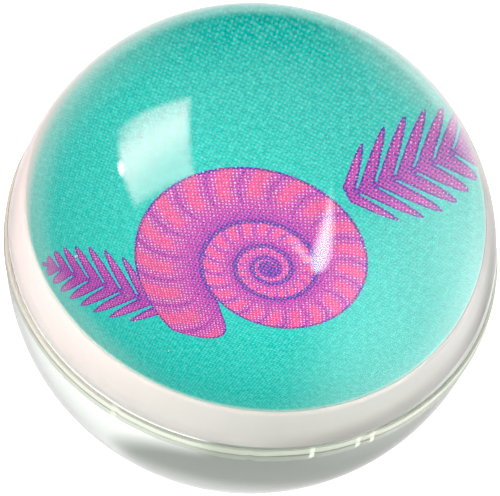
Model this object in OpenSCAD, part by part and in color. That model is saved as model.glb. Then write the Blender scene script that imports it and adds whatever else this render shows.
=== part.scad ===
// Clear bouncy ball with a picture disc moulded in at its equator.
// Two clear rubber halves meet on a seam, where each has a thin lip of flash.
// A white rubber core disc lies between them, a little askew as it was pressed in,
// and a printed film covers each of its faces.
// Frame: origin at the ball's centre, +Z up through the front picture, -Y to the viewer,
// seam in the plane z = 0. Lengths are in millimetres and angles in degrees.

/* [Ball] */
// Diameter of the clear ball, not counting the flash on its seam
ball_d = 45; // [42:1:60]

/* [Seam flash] */
// How far each half's lip stands proud of the ball
lip_proud = 0.25; // [0.1:0.05:0.5]
// Height of each half's lip, from the seam plane
lip_h = 0.8; // [0.4:0.1:1.5]
// Bevel on the lips' outer edges, which leaves a fine groove along the seam
lip_bevel = 0.12; // [0.04:0.02:0.2]

/* [Core disc] */
// Diameter of the white core disc
core_d = 32.6; // [24:0.2:34]
// Thickness of the white core disc
core_t = 5.4; // [3:0.1:8]
// Radius of the round along the core disc's upper edge
core_round = 0.3; // [0.2:0.1:1]
// Radius of the fuller round along its lower edge
core_low_round = 3.4; // [0.4:0.2:3.6]
// Height of the front picture above the seam plane, at the disc's middle
picture_z = 0; // [-1:0.1:1]
// How far the disc lies to the left of the ball's axis
core_left = 0.9; // [0:0.1:1.5]
// How far the disc lies to the front of the ball's axis
core_front = 0.65; // [0:0.05:1.5]
// Slope that lifts the disc's left side
rise_left = 3; // [0:0.5:5]
// Slope that lifts the disc's front
rise_front = 5.5; // [0:0.5:8]

/* [Pictures] */
// Thickness of each printed film
film_t = 0.15; // [0.05:0.05:0.4]
// White margin left between a film's edge and the flat face's edge
film_margin = 0.05; // [0:0.05:1]

/* [Fits] */
// Gap between the rubber halves and what they enclose
bond_gap = 0.02; // [0.01:0.01:0.1]

/* [Hidden] */

ball_r = ball_d / 2;
core_r = core_d / 2;
film_r = core_r - core_round - film_margin;
// The lower round leaves some upright wall however thin the core is made
low_round = min(core_low_round, core_t - 2 * core_round);
back_film_r = core_r - low_round - film_margin;
// A height on the core's upright wall, just under its upper round
wall_z = -film_t - 1.5 * core_round;
// The whole insert is the core disc with its two films
insert_t = core_t + 2 * film_t;
// One overrun serves every cut
overrun = ball_d;
// Steps along each rounded edge of the core
ROUND_STEPS = 8;
ball_fn = 180;
disc_fn = 120;

// Section of the core disc from its axis outwards, grown all round by a gap.
// The film's plane is z = 0 and the disc hangs below it.
function core_section(grow) = let (
        r = core_r + grow,
        top = -film_t + grow,
        low = -film_t - core_t - grow,
        top_r = core_round + grow,
        low_r = low_round + grow
    ) concat(
        [[0, low], [0, top]],
        [for (i = [0 : ROUND_STEPS]) let (a = 90 - 90 * i / ROUND_STEPS)
            [r - top_r + top_r * cos(a), top - top_r + top_r * sin(a)]],
        [for (i = [0 : ROUND_STEPS]) let (a = -90 * i / ROUND_STEPS)
            [r - low_r + low_r * cos(a), low + low_r + low_r * sin(a)]]
    );

// Puts the insert where it lies in the ball
module in_place() {
    translate([-core_left, -core_front, picture_z])
        rotate([-rise_front, rise_left, 0])
            children();
}

module core_shape(grow = 0) {
    rotate_extrude($fn = disc_fn)
        polygon(core_section(grow));
}

// A film lies with its printed face at z = face_z, on a face that looks up or down
module film_shape(r, face_z, grow = 0) {
    translate([0, 0, face_z - grow])
        cylinder(r = r + grow, h = film_t + 2 * grow, $fn = disc_fn);
}

module insert_shape(grow = 0) {
    core_shape(grow);
    film_shape(film_r, -film_t, grow);
    film_shape(back_film_r, -insert_t, grow);
}

// Upright post of rubber or of empty space over the insert, from a height up
module post(r, from_z) {
    translate([0, 0, from_z])
        cylinder(r = r, h = overrun, $fn = disc_fn);
}

// Lip of flash on the upper half; the lower half's is its mirror image
module lip() {
    rotate_extrude($fn = ball_fn)
        polygon([
            [ball_r - lip_h, 0],
            [ball_r + lip_proud - lip_bevel, 0],
            [ball_r + lip_proud, lip_bevel],
            [ball_r + lip_proud, lip_h - lip_bevel],
            [ball_r + lip_proud - lip_bevel, lip_h],
            [ball_r - lip_h, lip_h]
        ]);
}

// The ball's solid on one side of the seam, with its lip
module half_ball() {
    intersection() {
        sphere(r = ball_r, $fn = ball_fn);
        translate([-overrun / 2, -overrun / 2, 0])
            cube([overrun, overrun, overrun]);
    }
    lip();
}

// Clear half over the front picture. Where the picture lies below the seam,
// this half's rubber reaches down to it inside the lower half's pocket.
module upper_half() {
    color([0.86, 0.93, 0.90, 0.35])
        difference() {
            union() {
                half_ball();
                intersection() {
                    sphere(r = ball_r, $fn = ball_fn);
                    in_place() post(core_r, -film_t - core_round);
                }
            }
            in_place() insert_shape(bond_gap);
        }
}

// Clear half under the core, with the pocket that the core lies in
module lower_half() {
    color([0.80, 0.88, 0.84, 0.35])
        difference() {
            mirror([0, 0, 1]) half_ball();
            in_place() {
                insert_shape(bond_gap);
                post(core_r + bond_gap, wall_z);
            }
        }
}

// Opaque white disc that carries both pictures
module core_disc() {
    color([0.96, 0.95, 0.92])
        in_place() core_shape();
}

// Printed film that shows through the upper half
module front_picture() {
    color([0.13, 0.74, 0.68])
        in_place() film_shape(film_r, -film_t);
}

// Printed film that shows through the lower half
module back_picture() {
    color([0.13, 0.74, 0.68])
        in_place() film_shape(back_film_r, -insert_t);
}

upper_half();
lower_half();
core_disc();
front_picture();
back_picture();
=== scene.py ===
# %% [markdown]
# # A clear bouncy ball with a printed disc inside
#
# The real object is a solid ball of clear, slightly green rubber, 45 mm across. It is moulded in
# two halves round a white rubber disc, and a printed film covers each face of the disc. Light
# bends at the rubber's surface, so the round print looks large and its edge is pushed outwards.
# This lesson builds the ball the same way: two clear halves with a thin lip of flash on the seam,
# a white core, two films, and the few bubbles and nicks that moulding leaves.
#
# The CAD model fixes the ball's sizes and places. Each cell below makes one piece or one finish.

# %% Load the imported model
import math

import bmesh
import bpy
from mathutils import Matrix, Vector, noise


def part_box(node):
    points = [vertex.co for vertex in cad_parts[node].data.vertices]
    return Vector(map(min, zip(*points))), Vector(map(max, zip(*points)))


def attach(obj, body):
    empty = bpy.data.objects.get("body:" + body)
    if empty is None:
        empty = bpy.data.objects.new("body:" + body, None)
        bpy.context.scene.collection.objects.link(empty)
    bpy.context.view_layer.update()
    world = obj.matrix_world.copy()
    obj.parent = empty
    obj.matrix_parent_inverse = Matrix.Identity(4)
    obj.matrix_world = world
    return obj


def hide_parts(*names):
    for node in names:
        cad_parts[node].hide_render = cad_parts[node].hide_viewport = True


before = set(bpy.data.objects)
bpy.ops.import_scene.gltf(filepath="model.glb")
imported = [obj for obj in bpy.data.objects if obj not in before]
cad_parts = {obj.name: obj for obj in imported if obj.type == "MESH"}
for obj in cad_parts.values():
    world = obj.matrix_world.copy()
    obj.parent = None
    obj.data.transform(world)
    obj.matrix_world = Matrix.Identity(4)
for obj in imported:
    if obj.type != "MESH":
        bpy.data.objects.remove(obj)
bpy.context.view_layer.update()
print("CAD nodes:", ", ".join(sorted(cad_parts)))

# %% [markdown]
# ## Measure the frame
#
# A real part is measured before it is dressed. The ball's radius comes from the height of the
# upper half, and how far the flash stands proud comes from its width. The insert was pressed in
# a little askew, so its place and tilt are read from the front film: the middle of its mesh, and
# the direction in which most of its surface looks.

# %% Measure the frame
MM = 0.001


def points_of(node):
    """All corners of a CAD node, in metres."""
    return [vertex.co.copy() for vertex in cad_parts[node].data.vertices]


def facing(node):
    """The upward direction that most of a flat node's surface looks along."""
    total = Vector((0, 0, 0))
    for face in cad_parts[node].data.polygons:
        total += face.normal * face.area * (1 if face.normal.z > 0 else -1)
    return total.normalized()


def reach(points, origin, axis):
    """Half the width across an axis, and the lowest and highest place along it."""
    along = [(point - origin).dot(axis) for point in points]
    across = [(point - origin).cross(axis).length for point in points]
    return max(across), min(along), max(along)


ball_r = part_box("upper_half")[1].z
lip_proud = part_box("upper_half")[1].x - ball_r

insert_axis = facing("front_picture")
film_low_corner, film_high_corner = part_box("front_picture")
film_middle = (film_low_corner + film_high_corner) / 2
film_r, film_low, film_high = reach(points_of("front_picture"), film_middle, insert_axis)
print_centre = film_middle + insert_axis * film_high
film_t = film_high - film_low
core_r, core_low, core_high = reach(points_of("core_disc"), print_centre, insert_axis)
insert_turn = Vector((0, 0, 1)).rotation_difference(insert_axis)
insert_place = Matrix.Translation(print_centre) @ insert_turn.to_matrix().to_4x4()

print(f"ball {ball_r / MM:.2f} mm radius, flash {lip_proud / MM:.2f} mm proud")
print(f"film {film_r / MM:.2f} mm radius, {film_t / MM:.2f} mm thick, axis {insert_axis[:]}")
print(f"core {core_r / MM:.2f} mm radius, from {core_low / MM:.2f} to {core_high / MM:.2f} mm")

# %% [markdown]
# ## Helpers for colours and nodes
#
# Colours are written as the hex values that a paint program shows, and Blender's sockets want
# linear light, so one function turns the one into the other. A second function adds one node with
# its settings and links. A third reads a recipe, row by row, where a word stands for the result
# of an earlier row, so that a long sum stays readable.

# %% Helpers for colours and nodes
MATH = "ShaderNodeMath"
VECTOR = "ShaderNodeVectorMath"
SMOOTH = {"interpolation_type": "SMOOTHSTEP"}
MULTIPLIED = {"data_type": "RGBA", "blend_type": "MULTIPLY"}
MIXED = {"data_type": "RGBA"}


def linear(hex_colour):
    """An sRGB hex colour as linear RGBA."""
    channels = [int(hex_colour[i:i + 2], 16) / 255 for i in (1, 3, 5)]
    return [c / 12.92 if c <= 0.04045 else ((c + 0.055) / 1.055) ** 2.4 for c in channels] + [1]


def add_node(tree, kind, settings=None, inputs=None):
    """Adds one node. Each input, by name or by its number among those in use, is a value, or a
    socket or node to link from."""
    node = tree.nodes.new(kind)
    for name, value in (settings or {}).items():
        setattr(node, name, value)
    in_use = [socket for socket in node.inputs if socket.enabled]
    for key, value in (inputs or {}).items():
        target = in_use[key] if isinstance(key, int) else node.inputs[key]
        if isinstance(value, bpy.types.Node):
            value = next(socket for socket in value.outputs if socket.enabled)
        if isinstance(value, bpy.types.NodeSocket):
            tree.links.new(value, target)
        else:
            target.default_value = value
    return node


def add_recipe(tree, known, rows):
    """Adds a node for each row: its name, kind, operation or settings, and inputs in order.
    A word among the inputs stands for the row, or the known value, of that name."""
    made = dict(known)
    for name, kind, setting, *values in rows:
        settings = {"operation": setting} if isinstance(setting, str) else setting
        inputs = {i: made[v] if isinstance(v, str) else v for i, v in enumerate(values)}
        made[name] = add_node(tree, kind, settings, inputs)
    return made


def new_material(name):
    """An empty material, its node tree and its output node."""
    material = bpy.data.materials.new(name)
    material.use_nodes = True
    tree = material.node_tree
    tree.nodes.clear()
    output = tree.nodes.new("ShaderNodeOutputMaterial")
    return material, tree, output


print("mid grey, #808080, is", round(linear("#808080")[0], 3), "in linear light")

# %% [markdown]
# ## Helpers for meshes
#
# Everything in this ball is round, so its pieces are made as on a lathe: half a section is drawn
# as points, with its arcs from a formula, and spun a full turn. The seam and the poles of the spin
# are then welded, so that the solid is closed. A last function gives a finished piece its
# materials, puts it on the root body and hides the CAD node that it replaces.

# %% Helpers for meshes
WELD_GAP = 1e-8


def arc(cx, cz, radius, start, end, count):
    """Points of an arc about (cx, cz), from one angle in degrees to another, both included."""
    turn = [math.radians(start + (end - start) * i / count) for i in range(count + 1)]
    return [(cx + radius * math.cos(a), cz + radius * math.sin(a)) for a in turn]


def spun(profile, steps):
    """Spins a profile of (radius, height) points a full turn about the Z axis."""
    bm = bmesh.new()
    corners = [bm.verts.new((r, 0, z)) for r, z in profile]
    edges = [bm.edges.new(pair) for pair in zip(corners, corners[1:])]
    bmesh.ops.spin(bm, geom=corners + edges, cent=(0, 0, 0), axis=(0, 0, 1),
                   angle=math.tau, steps=steps, use_merge=True, use_duplicate=False)
    bmesh.ops.remove_doubles(bm, verts=bm.verts, dist=WELD_GAP)
    bmesh.ops.recalc_face_normals(bm, faces=bm.faces)
    return bm


def as_object(bm, name):
    """An object in the scene with a bmesh's shape, smoothly shaded."""
    mesh = bpy.data.meshes.new(name)
    bm.to_mesh(mesh)
    bm.free()
    mesh.polygons.foreach_set("use_smooth", [True] * len(mesh.polygons))
    piece = bpy.data.objects.new(name, mesh)
    bpy.context.scene.collection.objects.link(piece)
    return piece


def finish_piece(piece, node, slot, *materials):
    """Gives a piece its finish, puts it on the root body and hides the CAD node that it replaces."""
    for material in materials:
        piece.data.materials.append(material)
    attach(piece, "root")
    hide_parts(node)
    print(f"{piece.name}: {len(piece.data.vertices)} vertices, {len(piece.data.polygons)} faces")


quarter = [(round(x, 2), round(z, 2)) for x, z in arc(0, 0, 1, 0, 90, 2)]
print("a quarter arc in two steps:", quarter)

# %% [markdown]
# ## Clear rubber
#
# The ball is cast polybutadiene, the springy rubber of bouncy balls. In its clear grade it bends
# light like window glass, with an index of 1.5, and is tinted a faint green. Its skin copies a
# polished mould, so it is glossy, with a slight unevenness that makes highlights waver.
#
# The picture could be drawn large on a plain ball, which would look right from one side only. A
# solid that really bends light is simpler. It enlarges the picture, and shows the white wall and
# the clear zone under it in their right places, whichever way the ball is seen.

# %% Clear rubber
RUBBER_INDEX = 1.5
SKIN_WAVE = 9 * MM


# Gives the eye a deep, clear body and a wet shine that wavers slightly
def clear_rubber():
    material, tree, output = new_material("cast clear polybutadiene rubber")
    place = add_node(tree, "ShaderNodeTexCoord")
    unevenness = add_node(tree, "ShaderNodeTexNoise", None,
                          {"Vector": place.outputs["Object"], "Scale": 1 / SKIN_WAVE, "Detail": 1.0})
    bump = add_node(tree, "ShaderNodeBump", None,
                    {"Height": unevenness, "Strength": 0.1, "Distance": 0.02 * MM})
    shader = add_node(tree, "ShaderNodeBsdfPrincipled", None, {
        "Base Color": linear("#fbfdfb"), "Roughness": 0.0, "IOR": RUBBER_INDEX,
        "Transmission Weight": 1.0, "Normal": bump})
    tree.links.new(shader.outputs[0], output.inputs["Surface"])
    return material


rubber = clear_rubber()
print("material:", rubber.name)

# %% [markdown]
# ## Bonded joint and torn flash
#
# Where the halves meet, and where they grip the insert, rubber is bonded to rubber. Light passes
# there without bending, so those faces get a see-through shader of their own. With the clear
# shader there too, each half would trap its own light, and the seam would show as a mirror.
#
# The flash tore off the mould, so it is matt. It scatters the light that clear rubber would trap,
# so a mix of clear and milky rubber stands for it. A nick scuffed it, and there it is milkier.

# %% Bonded joint and torn flash
# Gives the eye nothing: the joint can't be seen
def bonded_face():
    material, tree, output = new_material("bonded rubber joint")
    shader = add_node(tree, "ShaderNodeBsdfTransparent")
    tree.links.new(shader.outputs[0], output.inputs["Surface"])
    return material


# Gives the eye a pale, satin line round the ball
def torn_flash(side, tint, clearness):
    material, tree, output = new_material(f"torn flash of clear rubber, {side}")
    shader = add_node(tree, "ShaderNodeBsdfPrincipled", None, {
        "Base Color": linear(tint), "Roughness": 0.28, "IOR": RUBBER_INDEX,
        "Transmission Weight": clearness})
    tree.links.new(shader.outputs[0], output.inputs["Surface"])
    return material


bond = bonded_face()
upper_flash = torn_flash("upper", "#d4d9c9", 0.60)
lower_flash = torn_flash("lower", "#c7cdbe", 0.74)
scuff = torn_flash("scuffed", "#d3d8c8", 0.42)
print("materials:", ", ".join(m.name for m in (bond, upper_flash, lower_flash, scuff)))

# %% [markdown]
# ## The clear halves
#
# Each half is a dome of rubber with a lip of flash round its rim, where the mould squeezed out.
# The profile of one half is an arc from the pole to the lip, the lip's soft edges, and the flat
# seam face. A spin turns it into a solid. A boolean then takes out the room for the insert, with
# a cutter that is spun as well and laid in the insert's own tilted place.

# %% Profile of one half
# The lip's height, the rounds of its edge and foot, and the depth of the groove along the seam
lip_h = 0.8 * MM
lip_edge = 0.12 * MM
lip_fillet = 0.08 * MM
groove = 0.16 * MM
LOWER_EDGE_TURN = -60
DOME_STEPS = 110
EDGE_STEPS = 4
TURN_STEPS = 288


def half_profile():
    """From the pole to the seam of the upper half: dome, fillet, lip, groove and seam face."""
    lip_r = ball_r + lip_proud
    foot_z = lip_h + lip_fillet
    lift = math.degrees(math.asin(foot_z / (ball_r + lip_fillet)))
    foot_x = (ball_r + lip_fillet) * math.cos(math.radians(lift))
    points = arc(0, 0, ball_r, 90, lift, DOME_STEPS)
    points += arc(foot_x, foot_z, lip_fillet, 180 + lift, 270, EDGE_STEPS)[1:]
    points += arc(lip_r - lip_edge, lip_h - lip_edge, lip_edge, 90, 0, EDGE_STEPS)
    points += arc(lip_r - lip_edge, lip_edge, lip_edge, 0, LOWER_EDGE_TURN, EDGE_STEPS)
    points += [(lip_r - groove, 0), (core_r / 2, 0), (0, 0)]
    points[0] = (0, ball_r)
    return points


print("profile of", len(half_profile()), "points, spun in", TURN_STEPS, "steps")

# %% Cutters for the insert's pocket
bond_gap = 0.02 * MM
core_round = 0.3 * MM
core_low_round = 3.4 * MM
film_edge = 0.03 * MM
film_margin = 0.05 * MM
back_film_r = core_r - core_low_round - film_margin
LOW_ROUND_STEPS = 14
HIGH_ROUND_STEPS = 8
DISC_STEPS = 160


def disc_profile(radius, low, high, low_round, high_round):
    """Section of a flat disc with rounded edges, from its lower middle to its upper middle."""
    lower = arc(radius - low_round, low + low_round, low_round, -90, 0, LOW_ROUND_STEPS)
    upper = arc(radius - high_round, high - high_round, high_round, 0, 90, HIGH_ROUND_STEPS)
    return [(0, low), (radius / 2, low)] + lower + upper + [(radius / 2, high), (0, high)]


def disc_object(name, radius, low, high, low_round=core_round, high_round=core_round):
    """A rounded disc that lies where the insert lies."""
    profile = disc_profile(radius, low, high, low_round, high_round)
    disc = as_object(spun(profile, DISC_STEPS), name)
    disc.data.transform(insert_place)
    return disc


def combined(piece, other, operation):
    """Joins or cuts a piece with another by an exact boolean, and removes the other."""
    modifier = piece.modifiers.new(operation, "BOOLEAN")
    modifier.operation = operation
    modifier.solver = "EXACT"
    modifier.object = other
    shape = bpy.data.meshes.new_from_object(
        piece.evaluated_get(bpy.context.evaluated_depsgraph_get()))
    piece.modifiers.clear()
    piece.data = shape
    bpy.data.objects.remove(other)


insert_bottom = core_low - film_t
pocket = {"radius": core_r + bond_gap, "low": insert_bottom - bond_gap, "high": bond_gap,
          "low_round": core_low_round + bond_gap, "high_round": core_round + bond_gap}
print("room for the insert:", {key: round(value / MM, 2) for key, value in pocket.items()}, "mm")

# %% [markdown]
# ## Worn flash
#
# No real flash is even. It tears off thinner here and thicker there, and a knock leaves a nick. A
# displacement texture could wear it, but this lip is a quarter of a millimetre wide. To move the
# corners of its mesh is exact, and they only move inwards, so that the ball keeps its size.

# %% Worn flash
# Bearings of the nicks, and half the width of each, in degrees
NICKS = (-80.0, -65.5, -54.0, -50.5, -113.0)
NICK_REACH = 0.62
# How far apart thin and thick places lie, the most that wear takes from the lip's width and from
# its height, as shares, and a length in metres that counts as none
WEAR_WAVE = 4 * MM
MOST_WEAR = 0.5
SINK = 0.06
ROUNDING = 1e-6


def nicked(place):
    """Whether a place lies in one of the flash's nicks."""
    bearing = math.degrees(math.atan2(place.y, place.x))
    return min(abs(bearing - nick) for nick in NICKS) < NICK_REACH


def wear_flash(piece, seed):
    """Thins the lip by a share that varies round the ball, and nicks it."""
    for vertex in piece.data.vertices:
        out = Vector((vertex.co.x, vertex.co.y, 0)).length
        if out <= ball_r + ROUNDING:
            continue
        around = Vector((vertex.co.x, vertex.co.y, 0)) / WEAR_WAVE
        wear = MOST_WEAR * max(0.0, noise.noise(around + Vector((0, 0, seed))))
        if nicked(vertex.co):
            wear = MOST_WEAR
        shrink = (out - (out - ball_r) * wear) / out
        vertex.co.x *= shrink
        vertex.co.y *= shrink
        vertex.co.z *= 1 - SINK * wear


print(len(NICKS), "nicks, each", 2 * NICK_REACH, "degrees wide")

# %% [markdown]
# ## Skin, joint and flash
#
# Each half carries four finishes, and a face gets its own by where it lies. Inside the ball or
# flat on the seam it is bonded, past the ball's radius it is torn flash, or scuffed flash within
# a nick, and all the rest is glossy skin. Where two finishes meet, the edge is marked sharp, or
# smooth shading would bend the light there as a lens does.

# %% Skin, joint and flash
SKIN, JOINT, FLASH, SCUFFED = range(4)
# How deep a face counts as skin, how far out as flash, and from when on as level or as sharp
SKIN_DEPTH = 0.5 * MM
PROUD = 0.02 * MM
LEVEL = 0.99
SHARP_ANGLE = 0.9


def mark_finishes(piece):
    """Gives each face the finish of its place, with a crisp edge where two finishes meet."""
    bm = bmesh.new()
    bm.from_mesh(piece.data)
    for face in bm.faces:
        middle = face.calc_center_median()
        face.material_index = SKIN
        if middle.length > ball_r + PROUD:
            face.material_index = SCUFFED if nicked(middle) else FLASH
        flat = abs(middle.z) < ROUNDING and abs(face.normal.z) > LEVEL
        if flat or middle.length < ball_r - SKIN_DEPTH:
            face.material_index = JOINT
        face.smooth = True
    for edge in bm.edges:
        kinds = {face.material_index for face in edge.link_faces}
        edge.smooth = len(kinds) == 1 and edge.calc_face_angle(0) < SHARP_ANGLE
    bm.to_mesh(piece.data)
    bm.free()


print("finishes of a half: skin, joint, flash and scuffed flash")

# %% [markdown]
# ## Bubbles
#
# A little air was caught in the upper half. A bubble is a hole in the rubber, so each one is a
# small sphere whose faces look inwards, and the clear shader bends light the other way there.

# %% Bubbles
# The places and radii are in millimetres
BUBBLES = (
    (-12.5, -6.5, 3.2, 0.16),
    (-8.2, -9.5, 4.0, 0.11),
    (-4.5, -13.6, 3.4, 0.12),
    (-7.9, -11.4, 3.6, 0.09),
)


def add_bubbles(piece):
    bm = bmesh.new()
    bm.from_mesh(piece.data)
    for x, y, z, radius in BUBBLES:
        place = Matrix.Translation(Vector((x, y, z)) * MM)
        made = bmesh.ops.create_icosphere(bm, subdivisions=3, radius=radius * MM, matrix=place)
        cavity = list({face for vert in made["verts"] for face in vert.link_faces})
        bmesh.ops.reverse_faces(bm, faces=cavity)
        for face in cavity:
            face.smooth = True
    bm.to_mesh(piece.data)
    bm.free()


print(len(BUBBLES), "bubbles")

# %% [markdown]
# ## Making the halves
#
# The insert leans, so a part of the picture dips under the seam. The upper half's rubber follows
# it down as a post, and the lower half makes room for that post. Both are made by joining and
# cutting solids, because the curves where a tilted disc meets a ball are hard to draw, but come
# by themselves from a boolean.

# %% Upper half
post_top = 2.6 * MM

upper_half = as_object(spun(half_profile(), TURN_STEPS), "upper_half_clear")
post = disc_object("post", core_r, core_high - core_round, post_top)
combined(upper_half, post, "UNION")
combined(upper_half, disc_object("pocket", **pocket), "DIFFERENCE")
mark_finishes(upper_half)
add_bubbles(upper_half)
wear_flash(upper_half, seed=1.7)
finish_piece(upper_half, "upper_half", "clear_rubber", rubber, bond, upper_flash, scuff)

# %% Lower half
# A height on the core's upright wall, where its pocket and the space for the post meet
wall_place = core_low / 3

lower_bm = spun([(r, -z) for r, z in half_profile()], TURN_STEPS)
lower_half = as_object(lower_bm, "lower_half_clear")
combined(lower_half, disc_object("pocket", **pocket), "DIFFERENCE")
above = disc_object("above", core_r + bond_gap, wall_place, post_top)
combined(lower_half, above, "DIFFERENCE")
mark_finishes(lower_half)
wear_flash(lower_half, seed=5.2)
finish_piece(lower_half, "lower_half", "clear_rubber", rubber, bond, lower_flash, scuff)

# %% [markdown]
# ## White rubber core
#
# The core is rubber filled with white pigment and cut from a sheet by a die, so it is opaque and
# matt. Clear rubber is bonded to it with no air between, so it has no gloss of its own either. A
# slow mottle and the die's fine grain could be painted as a texture, but noise at their real
# sizes does as well. Painted shade greys the wall low down on its right, where its rounded lower
# edge turns away from the light.

# %% White rubber core
MOTTLE = 2.5 * MM
GRAIN = 0.3 * MM
GRAIN_DEPTH = 0.03 * MM


# Gives the eye a soft, warm white that shades off gently, like an eraser's
def white_rubber():
    material, tree, output = new_material("filled white rubber, die cut")
    place = add_node(tree, "ShaderNodeTexCoord")
    mottle = add_node(tree, "ShaderNodeTexNoise", None,
                      {"Vector": place.outputs["Object"], "Scale": 1 / MOTTLE, "Detail": 4.0})
    tone = add_node(tree, "ShaderNodeMix", MIXED,
                    {"Factor": mottle, "A": linear("#f7f0ed"), "B": linear("#fcf7f4")})
    split = add_node(tree, "ShaderNodeSeparateXYZ", None, {"Vector": place.outputs["Object"]})
    painted_shade_colour = add_recipe(tree, {"tone": tone, "x": split.outputs["X"], "z": split.outputs["Z"]}, [
        # Painted shade: the wall greys low down on its right, where its rounded lower edge turns
        # from the light
        ("low", "ShaderNodeMapRange", SMOOTH, "z", -0.9 * MM, -3.6 * MM, 0.0, 0.52),
        ("right", "ShaderNodeMapRange", SMOOTH, "x", 2.0 * MM, 11.0 * MM, 0.0, 1.0),
        ("stain", MATH, "MULTIPLY", "low", "right"),
        ("colour", "ShaderNodeMix", MIXED, "stain", "tone", linear("#8f8a80")),
    ])["colour"]
    grain = add_node(tree, "ShaderNodeTexNoise", None,
                     {"Vector": place.outputs["Object"], "Scale": 1 / GRAIN, "Detail": 3.0})
    bump = add_node(tree, "ShaderNodeBump", None,
                    {"Height": grain, "Strength": 0.3, "Distance": GRAIN_DEPTH})
    shader = add_node(tree, "ShaderNodeBsdfPrincipled", None, {
        "Base Color": painted_shade_colour, "Roughness": 0.6, "Specular IOR Level": 0.0, "Normal": bump})
    tree.links.new(shader.outputs[0], output.inputs["Surface"])
    return material


core = disc_object("core_disc_white", core_r, core_low, core_high, core_low_round)
finish_piece(core, "core_disc", "white_rubber", white_rubber())

# %% [markdown]
# ## The printed films
#
# Each film is an offset print. Such a print lays down a few flat inks as fine screens of dots,
# each screen at its own angle, and where a tint is strong the dots join and leave small holes.
# The picture could be painted in another program, but a few sums draw it in the shader, sharp at
# any size, and every length in them is a real one in millimetres on the film.
#
# The design is a coiled fossil shell between two fern fronds, pink and magenta with a purple
# outline, on sea green. A coiled shell grows by the same factor each turn, so its wall is a
# logarithmic spiral. A point is placed by how many turns out it lies, and by its share of the way
# across that turn. A frond is a row of leaflets: stripes that lean away from a bent stem.
# Both give the same answers for a point: its depth inside the outline, and its shade.

# %% Places and sizes of the motifs, in millimetres and degrees
SHELL_MIDDLE = (2.2, -0.6)
SHELL_RADIUS = 9.6
SHELL_GROWTH = 2.05
SHELL_MOUTH = 235
SHELL_RIBS = 20
FRONDS = (
    {"foot": (-4.6, -6.3), "heading": 172, "length": 9.6, "leaf": 3.3, "bend": 0.10},
    {"foot": (6.0, 6.6), "heading": 38, "length": 8.6, "leaf": 3.2, "bend": 0.12},
)
print("one shell of radius", SHELL_RADIUS, "mm and", len(FRONDS), "fronds")


# %% A fern frond
# Leaflets on each side, how far they lean, half the stem's width, and how far its foot runs on
LEAFLETS = 7.5
LEAN = 0.75
STEM = 0.22
FOOT = 0.6


def own_axes(tree, film, origin, heading):
    """A motif's own X and Y, in mm, from its origin and the direction that it points in."""
    local = add_node(tree, "ShaderNodeMapping", {"vector_type": "TEXTURE"}, {
        "Vector": film, "Location": (*origin, 0), "Rotation": (0, 0, math.radians(heading))})
    split = add_node(tree, "ShaderNodeSeparateXYZ", None, {"Vector": local})
    return {"local": local, "x": split.outputs["X"], "y": split.outputs["Y"]}


def frond(tree, film, foot, heading, length, leaf, bend):
    """A fern frond: its depth at a point, in mm, and its shade from stem to leaflet tip."""
    pitch = length / LEAFLETS
    return add_recipe(tree, own_axes(tree, film, foot, heading), [
        # The stem bends as a parabola does
        ("squared", MATH, "MULTIPLY", "x", "x"),
        ("side", MATH, "MULTIPLY_ADD", "squared", -bend / length, "y"),
        ("off", MATH, "ABSOLUTE", "side"),
        # The frond is broad in its middle and narrows to both ends
        ("swell", MATH, "MULTIPLY_ADD", "x", 0.93 * math.pi / length, 0.1 * math.pi),
        ("wave", MATH, "SINE", "swell"),
        ("open", MATH, "MAXIMUM", "wave", 0.0001),
        ("taper", MATH, "SQRT", "open"),
        ("reach", MATH, "MULTIPLY", "taper", leaf),
        ("out", MATH, "DIVIDE", "off", "reach"),
        ("out_squared", MATH, "MULTIPLY", "out", "out"),
        ("left", MATH, "SUBTRACT", 1.0, "out_squared"),
        ("round", MATH, "SQRT", "left"),
        # Leaflets are stripes that lean away from the stem, each with a round tip
        ("leaned", MATH, "MULTIPLY_ADD", "off", -LEAN, "x"),
        ("stripe", MATH, "PINGPONG", "leaned", pitch / 2),
        ("from_gap", MATH, "ADD", "stripe", -pitch / 2),
        ("leaflet", MATH, "MULTIPLY_ADD", "round", 0.44 * pitch, "from_gap"),
        ("stem", MATH, "SUBTRACT", STEM, "off"),
        ("either", MATH, "MAXIMUM", "leaflet", "stem"),
        ("to_tip", MATH, "SUBTRACT", length, "x"),
        ("from_foot", MATH, "ADD", "x", FOOT),
        ("ends", MATH, "MINIMUM", "to_tip", "from_foot"),
        ("depth", MATH, "MINIMUM", "either", "ends"),
        ("shade", "ShaderNodeMapRange", SMOOTH, "out", 0.0, 1.0, 1.2, 0.35),
    ])


print(f"leaflets of the first frond lie {FRONDS[0]['length'] / LEAFLETS:.2f} mm apart")


# %% A coiled shell
# How far the mouth's lip bulges, and how much the ribs bow, both in radians
LIP_BULGE = 0.35
RIB_BOW = 12.0


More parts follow.
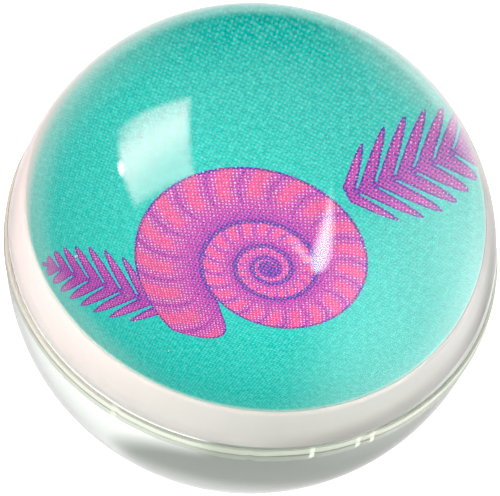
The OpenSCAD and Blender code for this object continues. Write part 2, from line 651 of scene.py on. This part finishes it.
def coiled_shell(tree, film):
    """A coiled shell: its depth, its shade, how hot its ribs are, and its mouth's distance."""
    across = math.log(SHELL_GROWTH)
    return add_recipe(tree, own_axes(tree, film, SHELL_MIDDLE, SHELL_MOUTH), [
        ("radius", VECTOR, "LENGTH", "local"),
        # How many turns out a point lies, and so between which walls
        ("bearing", MATH, "ARCTAN2", "y", "x"),
        ("angle", MATH, "DIVIDE", "bearing", math.tau),
        ("size", MATH, "DIVIDE", "radius", SHELL_RADIUS),
        ("turns", MATH, "LOGARITHM", "size", SHELL_GROWTH),
        ("lag", MATH, "SUBTRACT", "turns", "angle"),
        ("whole", MATH, "CEIL", "lag"),
        ("wall", MATH, "ADD", "angle", "whole"),
        ("inward", MATH, "SUBTRACT", "turns", "wall"),
        ("share", MATH, "ADD", "inward", 1.0),
        # Its distance in mm from the nearer wall
        ("from_inner", MATH, "MINIMUM", "share", 1.0),
        ("from_outer", MATH, "MULTIPLY", "inward", -1.0),
        ("from_wall", MATH, "MINIMUM", "from_inner", "from_outer"),
        ("wall_depth", MATH, "MULTIPLY", "from_wall", across),
        ("wall_mm", MATH, "MULTIPLY", "wall_depth", "radius"),
        # The last turn ends in a mouth with a bulging lip
        ("half_turn", MATH, "MULTIPLY", "share", math.pi),
        ("bulge", MATH, "SINE", "half_turn"),
        ("lip", MATH, "MULTIPLY", "bulge", LIP_BULGE / math.tau),
        ("short_of", MATH, "SUBTRACT", "lip", "wall"),
        ("mouth_turns", MATH, "MULTIPLY", "short_of", math.tau),
        ("mouth", MATH, "MULTIPLY", "mouth_turns", "radius"),
        ("depth", MATH, "MINIMUM", "wall_mm", "mouth"),
        # Ribs bow across each turn, and their crests are hottest near its outer wall
        ("middle", MATH, "ADD", "share", -0.5),
        ("middle_squared", MATH, "MULTIPLY", "middle", "middle"),
        ("curve", MATH, "MULTIPLY", "middle_squared", RIB_BOW),
        ("rib_turn", MATH, "MULTIPLY_ADD", "wall", math.tau * SHELL_RIBS, "curve"),
        ("rib", MATH, "COSINE", "rib_turn"),
        ("crest", "ShaderNodeMapRange", SMOOTH, "rib", 0.0, 0.5, 0.0, 1.0),
        ("outer", "ShaderNodeMapRange", SMOOTH, "share", 0.45, 0.6, 0.0, 1.0),
        ("hot", MATH, "MULTIPLY", "crest", "outer"),
        # The inner wall, a line between two ribs and the navel are darker
        ("inner", "ShaderNodeMapRange", SMOOTH, "share", 0.05, 0.6, 1.2, 0.1),
        ("trough", "ShaderNodeMapRange", SMOOTH, "rib", -0.8, -0.95, 0.0, 1.0),
        ("lined", "ShaderNodeMapRange", SMOOTH, "share", 0.15, 0.4, 0.0, 1.0),
        ("line", MATH, "MULTIPLY", "trough", "lined"),
        ("navel", "ShaderNodeMapRange", SMOOTH, "radius", 0.75, 0.5, 0.0, 1.0),
        ("darker", MATH, "MAXIMUM", "inner", "line"),
        ("shade", MATH, "MAXIMUM", "darker", "navel"),
    ])


print("each turn of the shell is", SHELL_GROWTH, "times as wide as the one inside it")

# %% [markdown]
# ## Inks and screens
#
# A screen of dots needs a threshold at each point: ink lies wherever the tint is stronger than
# the threshold. The product of two cosine waves, one each way, is such a threshold. It makes round
# dots in light tints, a chequer at one half, and round holes in strong tints, as a real screen
# does. The green screen lies at 15 degrees and the magenta screen at 75, as printers set them
# against moire.
#
# The real dots lie 0.15 to 0.2 mm apart. These lie 0.22 mm apart, which is about 45 to the
# centimetre, a little coarser so that they still show in a small picture.

# %% Inks and screens
INKS = {
    "paper": "#f3efe8",
    "green": "#02cfc3",
    "thin green": "#3edbce",
    "blue": "#59b4e1",
    "magenta": "#d956c6",
    "hot pink": "#f766b0",
}
DOT_SPACING = 0.22
# The paper's fibres make the dots' rows ragged, by this much in mm
FIBRES_PER_MM = 3.6
RAGGED = 0.24


def screen(tree, film, angle):
    """The threshold of a screen of dots, from 0 in a dot's middle to 1 in a hole's middle."""
    wave = math.tau / (DOT_SPACING * math.sqrt(2))
    fibres = add_node(tree, "ShaderNodeTexNoise", None,
                      {"Vector": film, "Scale": FIBRES_PER_MM, "Detail": 2.0})
    spread = add_node(tree, VECTOR, {"operation": "MULTIPLY_ADD"},
                      {0: fibres.outputs["Color"], 1: (RAGGED, RAGGED, 0.0), 2: film})
    local = add_node(tree, "ShaderNodeMapping", None, {
        "Vector": spread, "Rotation": (0, 0, math.radians(angle + 45)), "Scale": (wave,) * 3})
    cosines = add_node(tree, VECTOR, {"operation": "COSINE"}, {0: local})
    split = add_node(tree, "ShaderNodeSeparateXYZ", None, {0: cosines})
    return add_recipe(tree, {"x": split.outputs["X"], "y": split.outputs["Y"]}, [
        ("product", MATH, "MULTIPLY", "x", "y"),
        ("threshold", MATH, "MULTIPLY_ADD", "product", 0.5, 0.5),
    ])["threshold"]


print(len(INKS) - 1, "inks on paper, in dots", DOT_SPACING, "mm apart")

# %% [markdown]
# ## The print's picture
#
# Now the motifs and the screens come together, in four steps. The first finds the motif that a
# point lies on. The second says how strong each ink should be there, with the blotches and the
# grain of a real press. The third lays ink wherever its strength is over the screen's threshold.
# Printing inks are clear, so one over another multiplies. The fourth lets the ink fade out where
# the film ends. The steps are rows of one recipe, cut in four to be read one at a time.

# %% Which motif a point lies on
def find_motif(tree, known):
    return add_recipe(tree, known, [
        ("fronds", MATH, "MAXIMUM", "left", "right"),
        ("on_right", MATH, "GREATER_THAN", "right", "left"),
        ("frond_shade", "ShaderNodeMix", None, "on_right", "left_shade", "right_shade"),
        ("on_shell", "ShaderNodeMapRange", SMOOTH, "mouth", -0.02, 0.02, 0.0, 1.0),
        ("on_frond", "ShaderNodeMapRange", SMOOTH, "fronds", -0.02, 0.02, 0.0, 1.0),
        ("motif", MATH, "MAXIMUM", "on_shell", "on_frond"),
        ("depth", "ShaderNodeMix", None, "on_shell", "fronds", "shell"),
        ("shade", "ShaderNodeMix", None, "on_shell", "frond_shade", "shell_shade"),
        ("hot", MATH, "MULTIPLY", "on_shell", "rib_heat"),
        ("outline", "ShaderNodeMapRange", SMOOTH, "depth", 0.20, 0.14, 0.0, 1.0),
    ])


# %% How strong each ink is
def mix_tints(tree, known):
    return add_recipe(tree, known, [
        ("blotch", "ShaderNodeTexNoise", None, "film", 0.25, 2.0),
        ("grain", "ShaderNodeTexNoise", None, "film", 2.6, 2.0),
        # Green fills the ground in slow blotches, a little thinner to the right
        ("slope", VECTOR, "DOT_PRODUCT", "film", (0.030, 0.006, 0.0)),
        ("thin", MATH, "ADD", "slope", "blotch"),
        ("even_ground", "ShaderNodeMapRange", SMOOTH, "thin", 0.1, 1.0, 1.02, 0.92),
        ("ground", MATH, "MULTIPLY_ADD", "grain", -0.40, "even_ground"),
        ("tint_blue", MATH, "MULTIPLY_ADD", "shade", 0.30, 0.06),
        ("blue_in", "ShaderNodeMix", None, "outline", "tint_blue", 0.72),
        ("green_tint", "ShaderNodeMix", None, "motif", "ground", "blue_in"),
        ("tint_pink", MATH, "MULTIPLY_ADD", "shade", 0.14, 0.80),
        ("hotter", MATH, "MULTIPLY_ADD", "hot", 0.10, "tint_pink"),
        ("magenta_tint", MATH, "MULTIPLY", "hotter", "motif"),
    ])


# %% Where ink lies
def lay_inks(tree, known):
    return add_recipe(tree, known, [
        ("green_over", MATH, "SUBTRACT", "green_tint", "green_screen"),
        # The ground keeps much of its green between the dots too, where the ink has spread
        ("least", MATH, "MULTIPLY_ADD", "motif", -0.83, 0.83),
        ("green_dots", "ShaderNodeMapRange", SMOOTH, "green_over", -0.25, 0.30, "least", 1.0),
        ("magenta_over", MATH, "SUBTRACT", "magenta_tint", "magenta_screen"),
        ("magenta_dots", "ShaderNodeMapRange", SMOOTH, "magenta_over", -0.14, 0.14, 0.0, 1.0),
        # The green is thinner in short streaks, and on the motifs blue takes its place
        ("along", VECTOR, "MULTIPLY", "film", (3.2, 5.6, 1.0)),
        ("streaks", "ShaderNodeTexNoise", None, "along", 1.0, 2.0),
        ("thinned", "ShaderNodeMapRange", SMOOTH, "streaks", 0.44, 0.62, 0.0, 0.75),
        ("ground_ink", "ShaderNodeMix", MIXED, "thinned", "green", "thin green"),
        ("first_ink", "ShaderNodeMix", MIXED, "motif", "ground_ink", "blue"),
        ("first", "ShaderNodeMix", MIXED, "green_dots", "paper", "first_ink"),
        ("second_ink", "ShaderNodeMix", MIXED, "hot", "magenta", "hot pink"),
        ("second", "ShaderNodeMix", MIXED, "magenta_dots", (1, 1, 1, 1), "second_ink"),
        ("inked", "ShaderNodeMix", MULTIPLIED, 1.0, "first", "second"),
    ])


# %% How the ink ends
PLATE_MIDDLE = (2.6, -2.0, 0.0)
PLATE_PAST_FILM = 2.25


def end_inks(tree, known, inked_r):
    return add_recipe(tree, known, [
        # The plate lay a little askew, so a pale rim of bare paper shows at the rear left
        ("from_middle", VECTOR, "LENGTH", "film"),
        ("past_round", MATH, "SUBTRACT", "from_middle", inked_r),
        ("from_plate", VECTOR, "DISTANCE", "film", PLATE_MIDDLE),
        ("past_plate", MATH, "SUBTRACT", "from_plate", inked_r + PLATE_PAST_FILM),
        ("past_print", MATH, "MAXIMUM", "past_round", "past_plate"),
        ("rear_left", VECTOR, "DOT_PRODUCT", "film", (-0.045, 0.030, 0.0)),
        ("softness", "ShaderNodeMapRange", SMOOTH, "rear_left", 0.5, 0.8, 0.40, 1.0),
        # The ink is paler near the edge along the left, and at the rear
        ("leftward", VECTOR, "DOT_PRODUCT", "film", (-0.0625, 0.0, 0.0)),
        ("on_left", "ShaderNodeMapRange", SMOOTH, "leftward", 0.15, 0.65, 0.0, 0.12),
        ("faded", "ShaderNodeMapRange", SMOOTH, "past_print", -3.2, -0.8, 0.0, 1.0),
        ("left_fade", MATH, "MULTIPLY", "on_left", "faded"),
        ("rearward", VECTOR, "DOT_PRODUCT", "film", (0.031, 0.059, 0.0)),
        ("rear_fade", "ShaderNodeMapRange", SMOOTH, "rearward", 0.93, 1.06, 0.0, 0.15),
        ("fade", MATH, "MAXIMUM", "left_fade", "rear_fade"),
        ("share_past", MATH, "DIVIDE", "past_print", "softness"),
        ("edge", "ShaderNodeMapRange", SMOOTH, "share_past", -1.0, 1.0, 0.0, 1.0),
        ("uneven", "ShaderNodeMapRange", SMOOTH, "grain", 0.25, 0.75, 0.84, 1.0),
        # The print is a little darker towards the rear right
        ("rear_right", VECTOR, "DOT_PRODUCT", "film", (0.05, 0.06, 0.0)),
        ("dense", "ShaderNodeMapRange", SMOOTH, "rear_right", 0.1, 0.85, 1.0, 0.87),
        ("cover", MATH, "MULTIPLY", "uneven", "dense"),
        ("laid", "ShaderNodeMix", MULTIPLIED, 1.0, "inked", "cover"),
        ("paler", "ShaderNodeMix", MIXED, "fade", "laid", "paper"),
        ("colour", "ShaderNodeMix", MIXED, "edge", "paler", "paper"),
    ])


# %% [markdown]
# ## The print's material
#
# A Mapping node turns the piece's own coordinates into millimetres on the film, from its middle,
# so the same picture serves both films. The film is bonded to the rubber all over. With no air
# between them it has no gloss of its own, and all the shine comes from the ball's skin.

# %% The print's material
# Gives the eye flat, bright colour that breaks up into dots when it comes near
def printed_film(name, middle, turn, inked_r):
    material, tree, output = new_material(name)
    place = add_node(tree, "ShaderNodeTexCoord")
    film = add_node(tree, "ShaderNodeMapping", {"vector_type": "TEXTURE"}, {
        "Vector": place.outputs["Object"], "Location": middle, "Rotation": turn,
        "Scale": (MM, MM, MM)})
    left, right = (frond(tree, film, **row) for row in FRONDS)
    shell = coiled_shell(tree, film)
    known = {
        "film": film, "left": left["depth"], "left_shade": left["shade"],
        "right": right["depth"], "right_shade": right["shade"],
        "shell": shell["depth"], "shell_shade": shell["shade"], "mouth": shell["mouth"],
        "rib_heat": shell["hot"], "green_screen": screen(tree, film, 15),
        "magenta_screen": screen(tree, film, 75),
    }
    known.update((ink, add_node(tree, "ShaderNodeRGB")) for ink in INKS)
    for ink, colour in INKS.items():
        known[ink].outputs[0].default_value = linear(colour)
    known = lay_inks(tree, mix_tints(tree, find_motif(tree, known)))
    picture = end_inks(tree, known, inked_r)
    shader = add_node(tree, "ShaderNodeBsdfPrincipled", None, {
        "Base Color": picture["colour"], "Roughness": 0.5, "Specular IOR Level": 0.0})
    tree.links.new(shader.outputs[0], output.inputs["Surface"])
    print(f"{name}: {len(tree.nodes)} nodes")
    return material


# %% The two films
# How far the front's ink runs past its film's edge, and the back's ends short of it, in mm
FRONT_BLEED = 0.02
BACK_MARGIN = 0.1

front_turn = insert_turn.to_euler()
back_turn = (insert_turn.to_matrix() @ Matrix.Rotation(math.pi, 3, "X")).to_euler()
back_centre = print_centre + insert_axis * insert_bottom
front_film = disc_object("front_picture_print", film_r, -film_t, 0, film_edge, film_edge)
finish_piece(front_film, "front_picture", "front_print",
             printed_film("offset print on film, front", print_centre, front_turn,
                          film_r / MM + FRONT_BLEED))
back_film = disc_object("back_picture_print", back_film_r, insert_bottom, insert_bottom + film_t,
                        film_edge, film_edge)
finish_piece(back_film, "back_picture", "back_print",
             printed_film("offset print on film, back", back_centre, back_turn,
                          back_film_r / MM - BACK_MARGIN))

# %% [markdown]
# ## Camera
#
# The photo looks down on the ball at about 55 degrees, a little turned, and the ball nearly fills
# it. There is hardly any perspective, so the camera stands far away with a long lens. The lens is
# worked out from the ball's size in pixels and from how far off its outline is.

# %% Camera
VIEW_HEIGHT = math.radians(54.7)
VIEW_ROLL = math.radians(12.5)
BALL_PIXELS = 245.8
SHIFT_PIXELS = (-1.1, 0.1)
PICTURE_WIDTH = 500
SENSOR = 36
NEAR, FAR = 0.01, 20
camera_distance = 30 * ball_r


def photo_camera():
    data = bpy.data.cameras.new("camera")
    camera = bpy.data.objects.new("camera", data)
    bpy.context.scene.collection.objects.link(camera)
    back = Vector((0, -math.cos(VIEW_HEIGHT), math.sin(VIEW_HEIGHT)))
    right = Vector((1, 0, 0))
    up = back.cross(right)
    turned_right = right * math.cos(VIEW_ROLL) + up * math.sin(VIEW_ROLL)
    turned_up = up * math.cos(VIEW_ROLL) - right * math.sin(VIEW_ROLL)
    camera.matrix_world = Matrix((
        (turned_right.x, turned_up.x, back.x, back.x * camera_distance),
        (turned_right.y, turned_up.y, back.y, back.y * camera_distance),
        (turned_right.z, turned_up.z, back.z, back.z * camera_distance),
        (0, 0, 0, 1)))
    to_outline = math.sqrt((camera_distance / ball_r) ** 2 - 1)
    data.sensor_width = SENSOR
    data.lens = BALL_PIXELS * to_outline * SENSOR / PICTURE_WIDTH
    data.shift_x, data.shift_y = (pixels / PICTURE_WIDTH for pixels in SHIFT_PIXELS)
    data.clip_start, data.clip_end = NEAR, FAR
    bpy.context.scene.camera = camera
    return camera


camera = photo_camera()
# The standard view shows each hex colour as it was written
bpy.context.scene.view_settings.view_transform = "Standard"
print(f"camera: lens {camera.data.lens:.0f} mm")

# %% [markdown]
# ## Floor
#
# The ball stands on a white card. A plain disc does for it, large enough to pass for endless. Only
# the camera sees it. It would fill the rubber's lower half with white, so the room in the next
# cells also holds what the ball sees of the card.

# %% Floor
FLOOR_R = 1.5

# Matt card that glows a little, which gives the eye an even white
floor_bm = bmesh.new()
bmesh.ops.create_circle(floor_bm, cap_ends=True, segments=96, radius=FLOOR_R,
                        matrix=Matrix.Translation((0, 0, -ball_r)))
floor = as_object(floor_bm, "floor")
floor_material, tree, output = new_material("matt white card")
card = add_node(tree, "ShaderNodeBsdfDiffuse", None, {"Color": linear("#e4e4e2")})
glow = add_node(tree, "ShaderNodeEmission", None, {"Strength": 0.6})
both = add_node(tree, "ShaderNodeAddShader", None, {0: card, 1: glow})
tree.links.new(both.outputs[0], output.inputs["Surface"])
floor.data.materials.append(floor_material)
floor.visible_diffuse = floor.visible_glossy = floor.visible_transmission = False
print(f"floor {ball_r / MM:.1f} mm under the ball's middle")

# %% [markdown]
# ## Room
#
# Clear rubber and its skin show their surroundings, so the room is shaped as much as lit. The
# camera sees plain white, and the ball sees a dim room with soft lights in it. Walls and lamps
# could be built, but a few glows painted on the world are quick to render and easy to move.
#
# There are two lists of glows. What is seen through the rubber comes from the first, its glossy
# skin mirrors the second, and matt things such as the flash are lit by both. A real room has one
# set of lights. No single set gave both the shade inside the ball and the shine on it, because
# what lies round the ball in the photo isn't known.

# %% Soft lights of the room
# Each row is a soft light: where it lies, the cosines at which its glow starts and is full, and
# its strength. The first list lights the rubber from within, and the second shows in its skin.
SHINES_IN = (
    ((-0.52, -0.83, 0.20), 0.20, 0.95, 1.90),
    ((-0.98, -0.10, 0.10), 0.45, 1.00, 0.42),
    ((0.00, 0.60, 0.80), 0.66, 1.00, 0.98),
    ((-0.58, -0.58, -0.57), 0.30, 1.00, 0.24),
    ((0.00, 0.57, -0.82), 0.87, 0.98, 0.60),
)
MIRRORED = (
    ((0.98, -0.12, -0.16), 0.46, 1.00, 2.9),
    ((0.75, 0.64, -0.15), 0.62, 1.00, 0.9),
    ((0.00, 0.00, 1.00), 0.10, 0.75, 0.65),
    ((-1.00, 0.00, 0.00), 0.30, 1.00, 0.30),
    ((0.00, 0.58, -0.81), 0.90, 1.00, 0.40),
)
# A dark round thing behind the ball hides a part of the white wall to the rear right
DARK_ROUND = (-0.044, 0.972, 0.233)


def add_glows(tree, way, glows):
    """The summed strength of a list of soft lights, as seen along a way."""
    rows = [("sum 0", MATH, "ADD", 0.0, 0.0)]
    for i, (place, start, full, strength) in enumerate(glows):
        rows += [
            (f"cosine {i}", VECTOR, "DOT_PRODUCT", "way", place),
            (f"glow {i}", "ShaderNodeMapRange", SMOOTH, f"cosine {i}", start, full, 0.0, strength),
            (f"sum {i + 1}", MATH, "ADD", f"sum {i}", f"glow {i}"),
        ]
    return add_recipe(tree, {"way": way}, rows)[f"sum {len(glows)}"]


print(len(SHINES_IN), "soft lights shine in, and", len(MIRRORED), "show in the skin")


# %% Room
def studio_world():
    world = bpy.data.worlds.new("studio")
    bpy.context.scene.world = world
    world.use_nodes = True
    tree = world.node_tree
    tree.nodes.clear()
    output = tree.nodes.new("ShaderNodeOutputWorld")
    way = add_node(tree, "ShaderNodeTexCoord").outputs["Generated"]
    split = add_node(tree, "ShaderNodeSeparateXYZ", None, {0: way})
    path = add_node(tree, "ShaderNodeLightPath")
    known = {"way": way, "x": split.outputs["X"], "y": split.outputs["Y"],
             "z": split.outputs["Z"], "mirrored": add_glows(tree, way, MIRRORED),
             "shines_in": add_glows(tree, way, SHINES_IN),
             "bounced": path.outputs["Is Reflection Ray"],
             "scattered": path.outputs["Is Diffuse Ray"]}
    room = add_recipe(tree, known, [
        # Rays that the glossy skin mirrors, but not those that matt things scatter
        ("mirror", MATH, "SUBTRACT", "bounced", "scattered"),
        # A low bright wall to the rear right, with the dark round thing before it
        ("to_dark", VECTOR, "DOT_PRODUCT", "way", DARK_ROUND),
        ("bare", "ShaderNodeMapRange", SMOOTH, "to_dark", 0.955, 0.890, 0.0, 1.0),
        ("to_right", "ShaderNodeMapRange", SMOOTH, "x", -0.04, 0.06, 0.0, 1.0),
        ("to_rear", "ShaderNodeMapRange", SMOOTH, "y", 0.35, 0.5, 0.0, 1.0),
        ("from_level", MATH, "ADD", "z", -0.05),
        ("height", MATH, "ABSOLUTE", "from_level"),
        ("level", "ShaderNodeMapRange", SMOOTH, "height", 0.42, 0.27, 0.0, 1.0),
        ("bare_right", MATH, "MULTIPLY", "bare", "to_right"),
        ("bare_rear", MATH, "MULTIPLY", "bare_right", "to_rear"),
        ("wall", MATH, "MULTIPLY", "bare_rear", "level"),
        ("inner", MATH, "MULTIPLY_ADD", "wall", 0.88, "shines_in"),
        # The skin mirrors the card on the table, which is brightest behind the ball
        ("table", "ShaderNodeMapRange", SMOOTH, "z", -0.24, -0.46, 0.0, 1.0),
        ("behind", "ShaderNodeMapRange", SMOOTH, "y", 0.55, 0.90, 0.55, 0.85),
        ("card", MATH, "MULTIPLY", "table", "behind"),
        ("skin", MATH, "ADD", "mirrored", "card"),
        # The skin mirrors its own lights alone
        ("hidden", MATH, "MULTIPLY", "inner", "mirror"),
        ("shown", MATH, "SUBTRACT", "inner", "hidden"),
        ("glow", MATH, "MULTIPLY_ADD", "skin", "bounced", "shown"),
        # Between the lights the room is dim, most of all below
        ("gloom", "ShaderNodeMapRange", SMOOTH, "z", -0.6, -0.2, 0.2, 0.42),
        ("mirror_gloom", MATH, "MULTIPLY", "mirror", "gloom"),
        ("shade", MATH, "SUBTRACT", "gloom", "mirror_gloom"),
    ])
    light = add_node(tree, "ShaderNodeBackground", None,
                     {"Color": linear("#ffffff"), "Strength": room["glow"]})
    shade = add_node(tree, "ShaderNodeBackground", None,
                     {"Color": linear("#e6f0e6"), "Strength": room["shade"]})
    both = add_node(tree, "ShaderNodeAddShader", None, {0: light, 1: shade})
    seen = add_node(tree, "ShaderNodeBackground", None,
                    {"Color": linear("#ffffff"), "Strength": 1.0})
    mix = add_node(tree, "ShaderNodeMixShader", None,
                   {0: path.outputs["Is Camera Ray"], 1: both, 2: seen})
    tree.links.new(mix.outputs[0], output.inputs["Surface"])
    print(f"room: {len(tree.nodes)} nodes")


studio_world()

# %% [markdown]
# ## Lamps with a shape
#
# Two lights show as clear shapes on the ball, so their outlines matter. Each is a flat panel that
# lies where the skin mirrors it to the right place in the photo. A plain panel looks like a white
# sticker, so a recipe in u and v, which run from 0 to 1 across it, makes it bright and dim from
# place to place, as real cloth is.

# %% Lamps with a shape
def add_panel(name, centre, along, across, radiance, tint):
    """A flat light at a place, with its two edges as vectors, of a given radiance."""
    length, width = along.length, across.length
    data = bpy.data.lights.new(name, "AREA")
    data.shape = "RECTANGLE"
    data.size, data.size_y = length, width
    data.energy = radiance * math.pi * length * width
    data.color = linear(tint)[:3]
    data.use_nodes = True
    data.node_tree.nodes.clear()
    panel = bpy.data.objects.new(name, data)
    bpy.context.scene.collection.objects.link(panel)
    x, y = along.normalized(), across.normalized()
    # A light shines along its own -Z, so its Z has to point away from the ball
    z = x.cross(y)
    if z.dot(centre) < 0:
        x, z = -x, -z
    panel.matrix_world = Matrix((
        (x.x, y.x, z.x, centre.x), (x.y, y.y, z.y, centre.y),
        (x.z, y.z, z.z, centre.z), (0, 0, 0, 1)))
    panel.visible_camera = False
    return panel


def shape_light(panel, rows):
    """Makes a panel's light uneven by a recipe in u and v, which run from 0 to 1 across it."""
    tree = panel.data.node_tree
    output = tree.nodes.new("ShaderNodeOutputLight")
    place = add_node(tree, "ShaderNodeNewGeometry")
    split = add_node(tree, "ShaderNodeSeparateXYZ", None, {0: place.outputs["Parametric"]})
    made = add_recipe(tree, {"u": split.outputs["X"], "v": split.outputs["Y"]}, rows)
    glow = add_node(tree, "ShaderNodeEmission", None, {"Strength": made["strength"]})
    tree.links.new(glow.outputs[0], output.inputs["Surface"])
    print(f"{panel.name}: {panel.data.size / MM:.0f} by {panel.data.size_y / MM:.0f} mm")


# %% [markdown]
# ## Softbox
#
# The large light at the left is a softbox, a lamp in a case with white cloth before it. The cloth
# is brightest along a slanting band, one corner is dim, and the lamp shows as a small hot spot.
# It is tinted pink, because over the green print a pink reflection looks white.

# %% Softbox
# u runs from the right edge of its reflection to the left, and v from the top to the bottom
softbox_middle = Vector((-0.221, 0.051, 0.179))
softbox_u = Vector((-0.104, -0.043, -0.106)) * 1.12
softbox_v = Vector((0.019, -0.208, 0.069)) * 1.08
softbox = add_panel("softbox", softbox_middle, softbox_u, softbox_v, 12.0, "#ffc9d1")
shape_light(softbox, [
    ("edge_u", MATH, "PINGPONG", "u", 0.5),
    ("edge_v", MATH, "PINGPONG", "v", 0.5),
    ("edge", MATH, "MINIMUM", "edge_u", "edge_v"),
    ("lit", "ShaderNodeMapRange", SMOOTH, "edge", 0.0, 0.13, 0.0, 1.0),
    # The cloth is brightest along a band that falls to the left
    ("slant", MATH, "MULTIPLY_ADD", "u", -0.19, "v"),
    ("off_band", MATH, "ADD", "slant", -0.36),
    ("far_off", MATH, "ABSOLUTE", "off_band"),
    ("band", "ShaderNodeMapRange", SMOOTH, "far_off", 0.38, 0.0, 0.60, 1.12),
    # Its far corner is dimmer, and its right edge a little brighter
    ("place", "ShaderNodeCombineXYZ", None, "u", "v", 0.0),
    ("to_corner", VECTOR, "DISTANCE", "place", (1.0, 0.0, 0.0)),
    ("corner", "ShaderNodeMapRange", SMOOTH, "to_corner", 0.05, 0.42, 0.25, 1.0),
    ("right_edge", "ShaderNodeMapRange", SMOOTH, "u", 0.12, 0.02, 0.0, 0.18),
    # The lamp behind it shows as a small hot spot near the left edge
    ("from_lamp", VECTOR, "SUBTRACT", "place", (0.953, 0.518, 0.0)),
    ("stretched", VECTOR, "MULTIPLY", "from_lamp", (1.6, 1.0, 0.0)),
    ("lamp_away", VECTOR, "LENGTH", "stretched"),
    ("lamp", "ShaderNodeMapRange", SMOOTH, "lamp_away", 0.11, 0.02, 0.0, 1.8),
    ("banded", MATH, "MULTIPLY", "band", "corner"),
    ("brighter", MATH, "ADD", "banded", "right_edge"),
    ("cloth", MATH, "MULTIPLY", "brighter", "lit"),
    ("strength", MATH, "ADD", "cloth", "lamp"),
])

# %% [markdown]
# ## Gap in the curtains
#
# The light at the right is daylight through a gap between curtains, and looks like a blade: it
# widens slowly from its root, then closes in a blunt tip. One power of u gives the root, another
# closes the tip, and the edges are soft. A dimmer fold of cloth catches light beside it.

# %% Gap in the curtains
# u runs down the reflection, and v across it
DAYLIGHT = "#e2ffee"
gap_down = Vector((0.0631, -0.9263, -0.3714))
gap_across = Vector((0.8386, 0.2509, -0.4835))
curtains = Vector((0.2705, -0.1405, 0.3963))
gap_middle = curtains - gap_down * 0.036 - gap_across * 0.010
gap = add_panel("gap in the curtains", gap_middle, gap_down * 0.414, gap_across * 0.165, 16.0,
                DAYLIGHT)
shape_light(gap, [
    ("root", MATH, "POWER", "u", 0.8),
    ("power", MATH, "POWER", "u", 14.0),
    ("closing", MATH, "SUBTRACT", 1.0, "power"),
    ("blade", MATH, "MULTIPLY", "root", "closing"),
    ("half_width", MATH, "MULTIPLY", "blade", 0.40),
    ("side", MATH, "ADD", "v", -0.5),
    ("off", MATH, "ABSOLUTE", "side"),
    ("inside", MATH, "SUBTRACT", "half_width", "off"),
    ("lit", "ShaderNodeMapRange", SMOOTH, "inside", -0.03, 0.28, 0.0, 1.0),
    ("fade", "ShaderNodeMapRange", SMOOTH, "u", 0.0, 0.55, 0.2, 1.0),
    ("strength", MATH, "MULTIPLY", "lit", "fade"),
])

# %% Fold beside the gap
# u runs along the fold, and v across it
fold_middle = curtains + gap_down * 0.080 - gap_across * 0.116
fold_along = (gap_down * 0.573 + gap_across * 0.819).normalized()
fold_across = fold_along.cross(gap_middle.normalized())
fold = add_panel("fold in the curtains", fold_middle, fold_along * 0.16, fold_across * 0.055, 5.0,
                 DAYLIGHT)
shape_light(fold, [
    ("edge", MATH, "PINGPONG", "v", 0.5),
    ("soft", "ShaderNodeMapRange", SMOOTH, "edge", 0.0, 0.45, 0.0, 1.0),
    ("fade", "ShaderNodeMapRange", SMOOTH, "u", 1.0, 0.3, 0.0, 1.0),
    ("strength", MATH, "MULTIPLY", "soft", "fade"),
])
